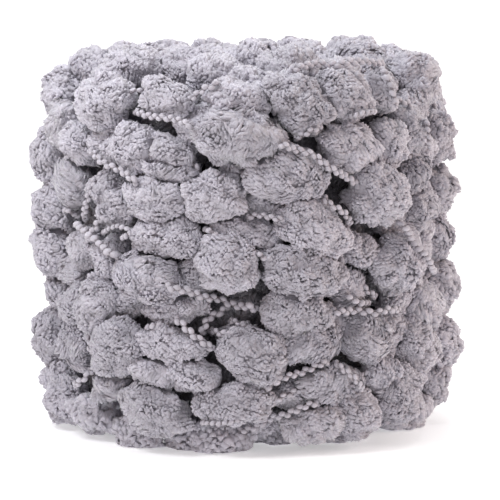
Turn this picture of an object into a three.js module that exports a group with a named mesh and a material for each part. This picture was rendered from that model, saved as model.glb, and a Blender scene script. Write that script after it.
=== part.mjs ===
// A ball of pompom yarn: one strand of fat oval pompoms on a thin twisted core, wound into a squat
// drum that stands on its foot. The ball is one closed solid, the wound drum with each outer pompom
// raised on it at its real size. The origin is in the middle of the foot, +Z is up, and the side
// that is drawn pompom by pompom faces -Y. Lengths are in millimetres, angles in degrees.
import * as THREE from "three";
import { mergeVertices } from "three/addons/utils/BufferGeometryUtils.js";

// The nest, a drum with rounded corners on which the middles of the outer pompoms lie.
const NEST_RADIUS = 66;
const NEST_FOOT = 6.8;
const NEST_TOP = 128;
const NEST_TOP_CORNER = 17;
const NEST_FOOT_CORNER = 9;
// The shallow dish that the winding spindle leaves in the top.
const DISH_RADIUS = 34;
const DISH_DEPTH = 6;
// How far the packed windings under the pompoms lie inside the nest.
const PACK_DEPTH = 4;

// A pompom's half depth, straight out of the drum, is a share of its half thickness.
const DEPTH_SHARE = 0.95;
const LEAST_HALF_DEPTH = 6.5;
// Past this far round, a front pompom is seen edge-on, and its hidden half thickness is at least
// that of the next value.
const EDGE_ON = 62;
const EDGE_ON_HALF_THICK = 8.5;

// The view in which the front pompoms are placed: the eye looks at a point of the drum's axis.
const EYE_DISTANCE = 850;
const EYE_TILT = 6.5;
const AIM_HEIGHT = 62;
// How closely a sight line is followed to the nest, and the least step along it.
const SIGHT_TOLERANCE = 0.01;
const SIGHT_STEP = 0.2;
// Front pompoms further round than this are not repeated on the far side.
const FRONT_LIMIT = 74;

// Plain pompoms fill the ends and the two sides, and a deeper layer fills the gaps left between
// all of them. Spacing is the least distance from any other pompom's middle.
const FILLS = [
  { spacing: 18, halfLength: 12, halfThick: 9, lift: 0, everywhere: false },
  { spacing: 14.5, halfLength: 9.5, halfThick: 7.5, lift: -1, everywhere: false },
  { spacing: 12.5, halfLength: 10.5, halfThick: 7, lift: -6, everywhere: true },
];
const FILL_TRIES = 1500;
const FILL_SPREAD = 0.14; // share by which plain pompoms differ in size
const FILL_LEAN = 55; // most that a plain pompom leans from the level

// The mesh is an icosahedron whose edges are each cut this many times.
const EDGE_CUTS = 23;
const PROFILE_STEPS = 240;
// How blunt the pompoms' domes are, 0.5 for an ellipsoid's, and where a pompom no longer counts.
const DOME_POWER = 0.7;
const FAR_FROM_POMPOM = 2;
const SAME_POINT = 1e-5; // points of the unit sphere closer than this are one

const GOLDEN = (Math.sqrt(5) - 1) / 2;
const CHANNEL_STEP = 0.377; // sets apart the uneven shares of one pompom

// Each row is a pompom that shows from the front, in millimetres of the plane through the axis:
// across from the axis, up from the aim, half length along the strand, half thickness, tilt of the
// strand in degrees, and how far it is lifted out of the nest.
const FRONT_POMPOMS = [
  // [across, up, halfLength, halfThick, tilt, lift]
  [-67, 57, 7.5, 6.5, 60, 0],
  [-57, 66, 8.5, 6, 32, 0],
  [-45, 68, 9.5, 6.5, 6, 0],
  [-29, 68, 9.5, 7, 0, 0],
  [-14, 69, 8, 7, -10, 0],
  [0, 65, 9.5, 8, 10, 2],
  [16, 70, 12, 5.5, 4, 0],
  [38, 70, 14, 5, -8, 0],
  [34, 65, 11, 5, -4, -2],
  [52, 67, 6, 5.5, -40, 0],
  [60, 61, 10, 9, -40, 1],
  [-50, 53, 11.5, 9, 10, 1],
  [-65, 45, 9, 7.5, 30, 0],
  [-29, 55, 11, 6, -20, -1],
  [-3, 55, 12, 6.5, 0, -1],
  [19, 53, 13, 9.5, -35, 0],
  [35, 56, 11, 9, -15, 0],
  [48, 57, 7, 6, -35, -1],
  [58, 43, 9, 7, 80, 0],
  [68, 40, 9, 6.5, 80, 0],
  [-72, 35, 9.5, 6, 90, -1],
  [-60, 38, 8, 7, -50, -1],
  [-41, 37, 11, 7.5, 2, 0],
  [-28, 35, 9, 6, -15, -1],
  [-3, 41, 16.5, 10, -6, 2.5],
  [15, 27, 15.5, 9.5, -5, 1],
  [37, 37, 12.5, 8.5, -10, 0],
  [51, 38, 8, 7.5, 60, 0],
  [-62, 24, 9, 6.5, 80, 0],
  [-70, 15, 9, 8, -70, 0],
  [-50, 22, 6.5, 5.5, 0, -1],
  [-46, 16, 7.5, 6.5, -30, 0],
  [-32, 18, 12, 8, -5, 0],
  [-27, 28, 11.5, 5, -10, -2],
  [-11, 19, 11.5, 8.5, 5, 1],
  [7, 17, 9, 5, -10, -7],
  [46, 20, 12.5, 10.5, -20, 2],
  [60, 27, 7.5, 6, 75, 0],
  [62, 16, 7.5, 6, 80, 0],
  [69, 22, 9, 5.5, 85, 0],
  [-67, 0, 10.5, 9.5, -60, 1],
  [-51, -4, 9, 6.5, 80, -3],
  [-29, 4, 13.5, 7.5, -5, 0],
  [1, 6, 13, 5.5, -15, -3],
  [24, 7, 14.5, 10, -45, 1],
  [40, 0, 9, 6.5, -30, -2],
  [52, -5, 11, 9.5, -15, 2],
  [67, 4, 9, 8, -70, 0],
  [-34, -10, 14, 9, -12, 2],
  [-6, -5, 11.5, 10, -10, 1],
  [20, -7, 15, 10, -12, 1],
  [38, -13, 7.5, 6.5, -30, -3],
  [-52, -20, 10.5, 8, 65, 1],
  [-69, -15, 6.5, 5, 90, -4],
  [-62, -20, 7, 4.5, 90, -2],
  [70, -13, 9.5, 6.5, 85, 0],
  [62, -21, 9, 8, -60, 1],
  [18, -23, 13, 8, -15, 0],
  [22, -34, 11.5, 6.5, 5, 0],
  [-27, -21, 11, 5, 5, -3],
  [-70, -30, 10, 5.5, 85, 0],
  [-62, -34, 9.5, 5, 80, -2],
  [-45, -36, 11.5, 10, 20, 1],
  [-27, -34, 13.5, 6.5, 0, 0],
  [42, -31, 10, 9, 20, 1],
  [60, -34, 11.5, 9, -50, 0],
  [71, -33, 9, 6.5, -80, 0],
  [3, -37, 12.5, 9.5, -12, 1],
  [-6, -34, 5, 4.5, 60, -6],
  [-66, -46, 8, 6.5, -70, 0],
  [-33, -43, 9.5, 5, -5, 0],
  [-18, -45, 9.5, 6.5, -15, 0],
  [30, -48, 12.5, 7, 5, 0],
  [48, -45, 8, 7, -40, 0],
  [54, -52, 11, 8.5, -60, 1],
  [67, -46, 9.5, 6.5, -75, 0],
  [-4, -55, 13.5, 7, 5, 1],
  [16, -52, 9, 5, 10, -5],
  [-49, -49, 8.5, 5, 20, -1],
  [-66, -55, 8, 7, -70, 0],
  [-54, -59, 11.5, 7, -10, 0],
  [-32, -57, 13.5, 8.5, -20, 1],
  [-39, -67, 9.5, 5, -10, 0],
  [40, -58, 9.5, 8, -60, 0],
  [24, -62, 11.5, 7, 5, 0],
  [-9, -68, 13, 5, -5, 0],
  [-24, -67, 7, 4.5, 5, 0],
];

const radians = THREE.MathUtils.degToRad;

// A share from 0 to 1 for the small differences between plain pompoms.
function uneven(index, channel) {
  return (index * GOLDEN + channel * CHANNEL_STEP) % 1;
}

// Distance outside the nest, negative within. The top's corner is rounder than the foot's.
function nestDistance(p) {
  const middle = (NEST_TOP + NEST_FOOT) / 2;
  const corner = p.z > middle ? NEST_TOP_CORNER : NEST_FOOT_CORNER;
  const across = Math.hypot(p.x, p.y) - (NEST_RADIUS - corner);
  const along = Math.abs(p.z - middle) - ((NEST_TOP - NEST_FOOT) / 2 - corner);
  const outside = Math.hypot(Math.max(across, 0), Math.max(along, 0));
  return outside + Math.min(Math.max(across, along), 0) - corner;
}

// Direction straight out of the nest.
function nestNormal(p) {
  const step = 0.01;
  const here = nestDistance(p);
  const slope = (axis) => {
    const ahead = p.clone();
    ahead[axis] += step;
    return nestDistance(ahead) - here;
  };
  return new THREE.Vector3(slope("x"), slope("y"), slope("z")).normalize();
}

// The place of the nest that shows at a point of the drawn view, with the distance from the eye and
// the distance by which a sight line past the outline misses the nest.
function seatInView(across, up) {
  const tilt = radians(EYE_TILT);
  const forward = new THREE.Vector3(0, Math.cos(tilt), -Math.sin(tilt));
  const upward = new THREE.Vector3(0, Math.sin(tilt), Math.cos(tilt));
  const aim = new THREE.Vector3(0, 0, AIM_HEIGHT);
  const eye = aim.clone().addScaledVector(forward, -EYE_DISTANCE);
  const sight = new THREE.Vector3(across, 0, 0).addScaledVector(upward, up).add(aim);
  sight.sub(eye).normalize();
  const found = { miss: Infinity, place: null, away: 0 };
  let away = EYE_DISTANCE - 2 * NEST_RADIUS;
  while (found.miss > SIGHT_TOLERANCE && away < EYE_DISTANCE + NEST_RADIUS) {
    const place = eye.clone().addScaledVector(sight, away);
    const gap = nestDistance(place);
    if (gap < found.miss) Object.assign(found, { miss: gap, place, away });
    away += Math.max(gap, SIGHT_STEP);
  }
  return found;
}

// A pompom is an ellipsoid: its middle, its three unit axes (along the strand, beside it and out of
// the drum) and its three half sizes.
function pompom(seat, halfLength, halfThick, tilt, lift) {
  const out = nestNormal(seat);
  const around = Math.atan2(seat.x, -seat.y);
  const level = new THREE.Vector3(Math.cos(around), Math.sin(around), 0);
  const rise = new THREE.Vector3().crossVectors(out, level).normalize();
  const lean = radians(tilt);
  const along = level.multiplyScalar(Math.cos(lean)).addScaledVector(rise, Math.sin(lean));
  const beside = new THREE.Vector3().crossVectors(out, along);
  const halfDepth = Math.max(DEPTH_SHARE * halfThick, LEAST_HALF_DEPTH);
  return {
    middle: seat.clone().addScaledVector(out, lift),
    axes: [along, beside, out],
    halves: [halfLength, halfThick, halfDepth],
  };
}

// The pompoms of the drawn front. Nearer ones show larger, so each is scaled by its distance. One
// that shows past the nest is rooted halfway back to it and is as much deeper.
function frontPompoms() {
  return FRONT_POMPOMS.map(([across, up, halfLength, halfThick, tilt, lift]) => {
    const { miss, place, away } = seatInView(across, up);
    const scale = away / EYE_DISTANCE;
    const root = miss > SIGHT_TOLERANCE ? miss / 2 : 0;
    const one = pompom(place, halfLength * scale, halfThick * scale, tilt, lift - root);
    one.halves[2] += root;
    if (aroundFromFront(place) > EDGE_ON) {
      one.halves[1] = Math.max(one.halves[1], EDGE_ON_HALF_THICK);
    }
    return one;
  });
}

// The same pompoms on the far side: the front turned half round about the level X axis, so that
// its top row lies at the far foot.
function farPompoms(front) {
  const turn = (v) => new THREE.Vector3(v.x, -v.y, -v.z);
  const onWall = ({ z }) => z < NEST_TOP - NEST_TOP_CORNER && z > NEST_FOOT + NEST_TOP_CORNER;
  return front
    .filter(({ middle }) => onWall(middle) && aroundFromFront(middle) < FRONT_LIMIT)
    .map(({ middle, axes, halves }) => ({
      middle: turn(middle).add(new THREE.Vector3(0, 0, NEST_TOP + NEST_FOOT)),
      axes: axes.map(turn),
      halves,
    }));
}

// Degrees round the axis from the front, either way.
function aroundFromFront(p) {
  return Math.abs(THREE.MathUtils.radToDeg(Math.atan2(p.x, -p.y)));
}

// Plain pompoms on a spiral from the top's middle to the foot's, wherever there is room.
function fillPompoms(placed, rings, fill) {
  const found = [];
  for (let k = 0; k < FILL_TRIES; k += 1) {
    const { radius, height } = ringAt((k + 0.5) / FILL_TRIES, rings);
    const turn = 2 * Math.PI * ((k * GOLDEN) % 1);
    const seat = new THREE.Vector3(radius * Math.sin(turn), -radius * Math.cos(turn), height);
    const drawn = radius > NEST_RADIUS - NEST_TOP_CORNER && aroundFromFront(seat) < FRONT_LIMIT;
    const grow = 1 + FILL_SPREAD * (2 * uneven(k, 1) - 1);
    const lean = FILL_LEAN * (2 * uneven(k, 2) - 1);
    const lift = fill.lift - dish(seat);
    const one = pompom(seat, fill.halfLength * grow, fill.halfThick * grow, lean, lift);
    const crowds = (other) => other.middle.distanceTo(one.middle) < fill.spacing;
    if ((drawn && !fill.everywhere) || placed.some(crowds) || found.some(crowds)) continue;
    found.push(one);
  }
  return found;
}

// The pompom in the middle of the foot, whose flat underside is the flat spot at the origin.
function footPompom() {
  const [{ halfLength, halfThick }] = FILLS;
  return pompom(new THREE.Vector3(0, 0, NEST_FOOT), halfLength, halfThick, 0, 0);
}

// How far the top is dished at a point.
function dish(p) {
  const share = Math.min(Math.hypot(p.x, p.y) / DISH_RADIUS, 1);
  return p.z > NEST_TOP - NEST_TOP_CORNER ? DISH_DEPTH * (1 - share * share) ** 2 : 0;
}

// The nest's profile, from the top's middle round the corner, down the wall, round the foot's
// corner and in to the foot's middle.
function nestProfile() {
  const profile = new THREE.Path();
  const [topFlat, footFlat] = [NEST_RADIUS - NEST_TOP_CORNER, NEST_RADIUS - NEST_FOOT_CORNER];
  profile.moveTo(0, NEST_TOP);
  profile.lineTo(topFlat, NEST_TOP);
  profile.absarc(topFlat, NEST_TOP - NEST_TOP_CORNER, NEST_TOP_CORNER, Math.PI / 2, 0, true);
  profile.lineTo(NEST_RADIUS, NEST_FOOT + NEST_FOOT_CORNER);
  profile.absarc(footFlat, NEST_FOOT + NEST_FOOT_CORNER, NEST_FOOT_CORNER, 0, -Math.PI / 2, true);
  profile.lineTo(0, NEST_FOOT);
  return profile;
}

// The profile as rings, each with the share of the nest's area above it, so that faces and tries
// spread evenly over the ends and the wall.
function profileRings() {
  const points = nestProfile().getSpacedPoints(PROFILE_STEPS);
  const rings = [{ radius: 0, height: NEST_TOP, above: 0 }];
  for (let k = 1; k <= PROFILE_STEPS; k += 1) {
    const last = rings[k - 1];
    const [radius, height] = points[k].toArray();
    const band = (radius + last.radius) * Math.hypot(radius - last.radius, height - last.height);
    rings.push({ radius, height, above: last.above + band });
  }
  const whole = rings[PROFILE_STEPS].above;
  rings.forEach((ring) => {
    ring.above /= whole;
  });
  return rings;
}

// Radius and height of the nest with a share of its area above.
function ringAt(share, rings) {
  const after = Math.max(1, rings.findIndex((ring) => ring.above >= share));
  const [from, to] = [rings[after - 1], rings[after]];
  const part = (share - from.above) / (to.above - from.above);
  return {
    radius: THREE.MathUtils.lerp(from.radius, to.radius, part),
    height: THREE.MathUtils.lerp(from.height, to.height, part),
  };
}

// How far out along a ray a pompom's skin lies. The ray's nearest point to the pompom's middle is
// found first. Over the pompom its skin is a dome on that point, and round its edge it falls away
// steadily, so that neighbours meet in a valley.
function reach(start, out, { middle, axes, halves }) {
  const offset = start.clone().sub(middle);
  const from = axes.map((axis, k) => offset.dot(axis) / halves[k]);
  const step = axes.map((axis, k) => out.dot(axis) / halves[k]);
  const a = step[0] ** 2 + step[1] ** 2 + step[2] ** 2;
  const b = from[0] * step[0] + from[1] * step[1] + from[2] * step[2];
  const c = from[0] ** 2 + from[1] ** 2 + from[2] ** 2 - 1;
  const cover = b * b / a - c;
  if (cover < -FAR_FROM_POMPOM) return -Infinity;
  const dome = cover > 0 ? cover ** DOME_POWER : cover;
  return -b / a + dome / Math.sqrt(a);
}

// The wound drum with its pompoms raised, and its foot pressed flat on the ground.
function woundBall() {
  const rings = profileRings();
  const pompoms = frontPompoms();
  pompoms.push(...farPompoms(pompoms));
  pompoms.push(footPompom());
  FILLS.forEach((fill) => pompoms.push(...fillPompoms(pompoms, rings, fill)));

  const round = new THREE.IcosahedronGeometry(1, EDGE_CUTS);
  round.deleteAttribute("normal");
  round.deleteAttribute("uv");
  const geometry = mergeVertices(round, SAME_POINT);
  const position = geometry.getAttribute("position");
  const point = new THREE.Vector3();
  for (let k = 0; k < position.count; k += 1) {
    point.fromBufferAttribute(position, k).normalize();
    const turn = Math.atan2(point.y, point.x);
    const { radius, height } = ringAt(THREE.MathUtils.clamp((1 - point.z) / 2, 0, 1), rings);
    point.set(radius * Math.cos(turn), radius * Math.sin(turn), height);
    const out = nestNormal(point);
    const reaches = pompoms.map((one) => reach(point, out, one));
    point.addScaledVector(out, Math.max(-PACK_DEPTH - dish(point), ...reaches));
    position.setXYZ(k, point.x, point.y, Math.max(point.z, 0));
  }
  geometry.computeVertexNormals();
  return geometry;
}

const yarn = new THREE.MeshStandardMaterial({
  name: "yarn",
  color: 0xaaa6b0,
  roughness: 0.95,
  metalness: 0,
});

const ball = new THREE.Mesh(woundBall(), yarn);
ball.name = "wound_ball";

const group = new THREE.Group();
group.name = "pompom_yarn_ball";
group.add(ball);

export default group;
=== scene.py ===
"""Dresses a ball of pompom yarn: fuzzy oval pompoms on a twisted core strand, wound into a squat drum.

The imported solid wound_ball gives the size and the place. It is replaced by the pompoms of the outer
and the deeper windings, each with its cut pile, by the stretches of core strand that show between
them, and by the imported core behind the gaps. Layout is worked out in millimetres, and meshes are
made in metres.
"""
import logging
import math
from dataclasses import dataclass, field
from enum import Enum

import bpy
import numpy as np
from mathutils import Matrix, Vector


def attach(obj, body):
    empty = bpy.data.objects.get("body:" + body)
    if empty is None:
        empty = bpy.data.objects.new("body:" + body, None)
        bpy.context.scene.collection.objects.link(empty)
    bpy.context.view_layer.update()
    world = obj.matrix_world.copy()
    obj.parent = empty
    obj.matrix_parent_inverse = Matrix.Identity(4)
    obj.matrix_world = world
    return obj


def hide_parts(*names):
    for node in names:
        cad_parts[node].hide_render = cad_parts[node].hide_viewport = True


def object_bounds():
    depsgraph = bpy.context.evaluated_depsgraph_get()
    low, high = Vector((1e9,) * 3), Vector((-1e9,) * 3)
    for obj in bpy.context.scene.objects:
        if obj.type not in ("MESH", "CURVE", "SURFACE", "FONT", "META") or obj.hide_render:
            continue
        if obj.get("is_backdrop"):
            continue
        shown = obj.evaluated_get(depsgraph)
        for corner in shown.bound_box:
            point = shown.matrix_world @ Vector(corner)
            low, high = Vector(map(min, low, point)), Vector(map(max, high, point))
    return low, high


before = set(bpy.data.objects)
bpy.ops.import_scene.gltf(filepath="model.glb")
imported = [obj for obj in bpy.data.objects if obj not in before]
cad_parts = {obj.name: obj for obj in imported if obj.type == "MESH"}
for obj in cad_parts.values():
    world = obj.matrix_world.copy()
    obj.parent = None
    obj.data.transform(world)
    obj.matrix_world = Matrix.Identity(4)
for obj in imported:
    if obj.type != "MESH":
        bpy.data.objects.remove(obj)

log = logging.getLogger("yarn_ball")

MM = 0.001
BODY = "root"
NODE = "wound_ball"

GOLDEN = (math.sqrt(5.0) - 1.0) / 2.0
CHANNEL_STEP = 0.377  # sets apart the uneven shares of one pompom

# A pompom's half depth, straight out of the drum, is a share of its half thickness.
DEPTH_SHARE = 0.95
LEAST_HALF_DEPTH = 6.5

# How far apart, in millimetres, two pompoms' places in the same field of waves lie.
WAVE_SHIFT = 40.0

Array = np.ndarray
Triple = tuple[float, float, float]


class Combing(Enum):
    """How the pile of a pompom lies, in millimetres.

    The four numbers are the lean off the surface as a share of the length, the length over which the
    lean changes its way, the length of a tuft, and the share of it at which its point begins.
    """

    CROPPED = (0.30, 4.5, 2.4, 0.78)
    TOUSLED = (0.46, 6.0, 2.7, 0.74)
    COMBED = (0.60, 11.0, 3.0, 0.64)

    @property
    def lean(self) -> float:
        """Share of a tuft's length by which it leans over."""
        return self.value[0]

    @property
    def clump(self) -> float:
        """Distance over which the lean changes its way."""
        return self.value[1]

    @property
    def length(self) -> float:
        """Length of a tuft."""
        return self.value[2]

    @property
    def shoulder(self) -> float:
        """Share of the length at which the point begins."""
        return self.value[3]


# How often each way of lying is met: most of the pile is cropped and stands up.
COMBINGS = (Combing.CROPPED,) * 5 + (Combing.TOUSLED,) * 2 + (Combing.COMBED,)


# Directions in which a tuft may be seen from outside: leans from straight out in degrees, and how
# many directions lie round each.
OPENING_RINGS = ((0.0, 1), (30.0, 5), (52.0, 6), (70.0, 6))


# The pompoms that show from the front, in millimetres of the plane through the ball's axis, as seen
# from the eye: across from the axis, up from the aim, half length along the strand, half thickness,
# tilt of the strand in degrees, and how far each is lifted out of the nest.
FRONT_POMPOMS = (
    # (across, up, half_length, half_thick, tilt, lift)
    (-67, 57, 7.5, 6.5, 60, 0),
    (-57, 66, 8.5, 6, 32, 0),
    (-45, 68, 9.5, 6.5, 6, 0),
    (-29, 68, 9.5, 7, 0, 0),
    (-14, 69, 8, 7, -10, 0),
    (0, 65, 9.5, 8, 10, 2),
    (16, 70, 12, 5.5, 4, 0),
    (38, 70, 14, 5, -8, 0),
    (34, 65, 11, 5, -4, -2),
    (52, 67, 6, 5.5, -40, 0),
    (60, 61, 10, 9, -40, 1),
    (-50, 53, 11.5, 9, 10, 1),
    (-65, 45, 9, 7.5, 30, 0),
    (-29, 55, 11, 6, -20, -1),
    (-3, 55, 12, 6.5, 0, -1),
    (19, 53, 13, 9.5, -35, 0),
    (35, 56, 11, 9, -15, 0),
    (48, 57, 7, 6, -35, -1),
    (58, 43, 9, 7, 80, 0),
    (68, 40, 9, 6.5, 80, 0),
    (-72, 35, 9.5, 6, 90, -1),
    (-60, 38, 8, 7, -50, -1),
    (-41, 37, 11, 7.5, 2, 0),
    (-28, 35, 9, 6, -15, -1),
    (-3, 41, 16.5, 10, -6, 2.5),
    (15, 27, 15.5, 9.5, -5, 1),
    (37, 37, 12.5, 8.5, -10, 0),
    (51, 38, 8, 7.5, 60, 0),
    (-62, 24, 9, 6.5, 80, 0),
    (-70, 15, 9, 8, -70, 0),
    (-50, 22, 6.5, 5.5, 0, -1),
    (-46, 16, 7.5, 6.5, -30, 0),
    (-32, 18, 12, 8, -5, 0),
    (-27, 28, 11.5, 5, -10, -2),
    (-11, 19, 11.5, 8.5, 5, 1),
    (7, 17, 9, 5, -10, -7),
    (46, 20, 12.5, 10.5, -20, 2),
    (60, 27, 7.5, 6, 75, 0),
    (62, 16, 7.5, 6, 80, 0),
    (69, 22, 9, 5.5, 85, 0),
    (-67, 0, 10.5, 9.5, -60, 1),
    (-51, -4, 9, 6.5, 80, -3),
    (-29, 4, 13.5, 7.5, -5, 0),
    (1, 6, 13, 5.5, -15, -3),
    (24, 7, 14.5, 10, -45, 1),
    (40, 0, 9, 6.5, -30, -2),
    (52, -5, 11, 9.5, -15, 2),
    (67, 4, 9, 8, -70, 0),
    (-34, -10, 14, 9, -12, 2),
    (-6, -5, 11.5, 10, -10, 1),
    (20, -7, 15, 10, -12, 1),
    (38, -13, 7.5, 6.5, -30, -3),
    (-52, -20, 10.5, 8, 65, 1),
    (-69, -15, 6.5, 5, 90, -4),
    (-62, -20, 7, 4.5, 90, -2),
    (70, -13, 9.5, 6.5, 85, 0),
    (62, -21, 9, 8, -60, 1),
    (18, -23, 13, 8, -15, 0),
    (22, -34, 11.5, 6.5, 5, 0),
    (-27, -21, 11, 5, 5, -3),
    (-70, -30, 10, 5.5, 85, 0),
    (-62, -34, 9.5, 5, 80, -2),
    (-45, -36, 11.5, 10, 20, 1),
    (-27, -34, 13.5, 6.5, 0, 0),
    (42, -31, 10, 9, 20, 1),
    (60, -34, 11.5, 9, -50, 0),
    (71, -33, 9, 6.5, -80, 0),
    (3, -37, 12.5, 9.5, -12, 1),
    (-6, -34, 5, 4.5, 60, -6),
    (-66, -46, 8, 6.5, -70, 0),
    (-33, -43, 9.5, 5, -5, 0),
    (-18, -45, 9.5, 6.5, -15, 0),
    (30, -48, 12.5, 7, 5, 0),
    (48, -45, 8, 7, -40, 0),
    (54, -52, 11, 8.5, -60, 1),
    (67, -46, 9.5, 6.5, -75, 0),
    (-4, -55, 13.5, 7, 5, 1),
    (16, -52, 9, 5, 10, -5),
    (-49, -49, 8.5, 5, 20, -1),
    (-66, -55, 8, 7, -70, 0),
    (-54, -59, 11.5, 7, -10, 0),
    (-32, -57, 13.5, 8.5, -20, 1),
    (-39, -67, 9.5, 5, -10, 0),
    (40, -58, 9.5, 8, -60, 0),
    (24, -62, 11.5, 7, 5, 0),
    (-9, -68, 13, 5, -5, 0),
    (-24, -67, 7, 4.5, 5, 0),
)


# Where the windings part, so that the dark inside shows: the middle of each hollow in the same
# plane, and its radius.
HOLLOWS = (
    # (across, up, radius)
    (-54.4, 11.5, 7.0),
    (-68.8, 34.0, 5.0),
    (-20.2, 57.6, 7.0),
    (-25.0, 50.0, 5.0),
    (17.0, 42.0, 7.0),
    (-4.0, 31.7, 5.0),
    (30.2, 23.4, 5.0),
    (4.3, 11.5, 5.0),
    (35.6, 10.0, 5.0),
    (-7.0, -27.0, 8.0),
    (-1.0, -24.0, 6.0),
    (-12.0, -30.0, 6.0),
    (4.3, -15.5, 5.0),
    (46.4, -13.7, 6.0),
    (-40.0, -22.3, 5.0),
    (-56.9, -32.4, 5.0),
    (-38.2, -47.5, 5.0),
    (12.2, -70.0, 7.0),
    (44.6, 51.1, 5.0),
    (64.4, 33.1, 5.0),
)


def unit(vectors: Array) -> Array:
    """Vectors scaled to length one along their last axis."""
    return vectors / np.maximum(np.linalg.norm(vectors, axis=-1, keepdims=True), 1e-12)


def uneven(index: Array, channel: int) -> Array:
    """Shares from 0 to 1 that differ from pompom to pompom.

    Args:
        index: whole numbers, one for each pompom.
        channel: which of a pompom's uneven shares is wanted.

    Returns:
        The fractional part of the index times the golden share, shifted by the channel.
    """
    return (index * GOLDEN + channel * CHANNEL_STEP) % 1.0


def ring_faces(rows: int, columns: int) -> Array:
    """Triangles between the rows of a grid that is closed round, two for each of its squares.

    Args:
        rows: rows of the grid.
        columns: points in each row.

    Returns:
        The triangles, three indices each.
    """
    row, column = np.meshgrid(np.arange(rows - 1), np.arange(columns), indexing="ij")
    here = row * columns + column
    beside = row * columns + (column + 1) % columns
    below, across = here + columns, beside + columns
    return np.stack([here, below, across, here, across, beside], axis=-1).reshape(-1, 3)


def closed_faces(rows: int, columns: int) -> Array:
    """Triangles of a grid that is closed round and at both ends.

    The first and the last row are each joined to a pole by a fan. The poles' two vertices come
    after those of the grid.

    Args:
        rows: rows of the grid.
        columns: points in each row.

    Returns:
        The triangles, three indices each.
    """
    first = np.arange(columns)
    last = first + (rows - 1) * columns
    near = np.stack([np.full(columns, rows * columns), first, np.roll(first, -1)], axis=1)
    far = np.stack([np.full(columns, rows * columns + 1), np.roll(last, -1), last], axis=1)
    return np.concatenate([ring_faces(rows, columns), near, far])


def waves(points: Array, length: float, seed: int, channels: int) -> Array:
    """Smooth uneven values over space.

    Each channel is a sum of eight sine waves in random directions, whose lengths lie about the one
    asked for.

    Args:
        points: places, (count, 3).
        length: wave length in millimetres.
        seed: seed of the directions.
        channels: how many independent values are wanted.

    Returns:
        Values of spread about one, (count, channels).
    """
    dice = np.random.default_rng(seed)
    total = np.zeros((len(points), channels))
    for _ in range(8):
        ways = unit(dice.normal(size=(3, channels)).T).T * dice.uniform(0.7, 1.4, channels)
        phase = points @ ways * (2.0 * math.pi / length)
        total += np.sin(phase + dice.uniform(0.0, 7.0, channels))
    return total / 2.0


@dataclass(frozen=True)
class Eye:
    """The photograph's viewpoint: a point of the ball's axis is looked at from a little above."""

    distance: float = 850.0
    tilt: float = 6.5
    aim_height: float = 62.0
    aim_across: float = 1.4
    view_width: float = 180.0

    def forward(self) -> Array:
        """Unit vector along which the eye looks."""
        lean = math.radians(self.tilt)
        return np.array([0.0, math.cos(lean), -math.sin(lean)])

    def upward(self) -> Array:
        """Unit vector that shows as straight up."""
        lean = math.radians(self.tilt)
        return np.array([0.0, math.sin(lean), math.cos(lean)])

    def place(self) -> Array:
        """Where the eye is for the layout, straight in front of the axis."""
        return np.array([0.0, 0.0, self.aim_height]) - self.forward() * self.distance

    def sights(self, across: Array, up: Array) -> Array:
        """Unit vectors from the eye to points of the view plane through the axis.

        Args:
            across: distances to the right of the axis.
            up: distances above the aim.

        Returns:
            One unit vector for each point.
        """
        aim = np.array([0.0, 0.0, self.aim_height])
        target = aim + np.outer(across, [1.0, 0.0, 0.0]) + np.outer(up, self.upward())
        return unit(target - self.place())


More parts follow.
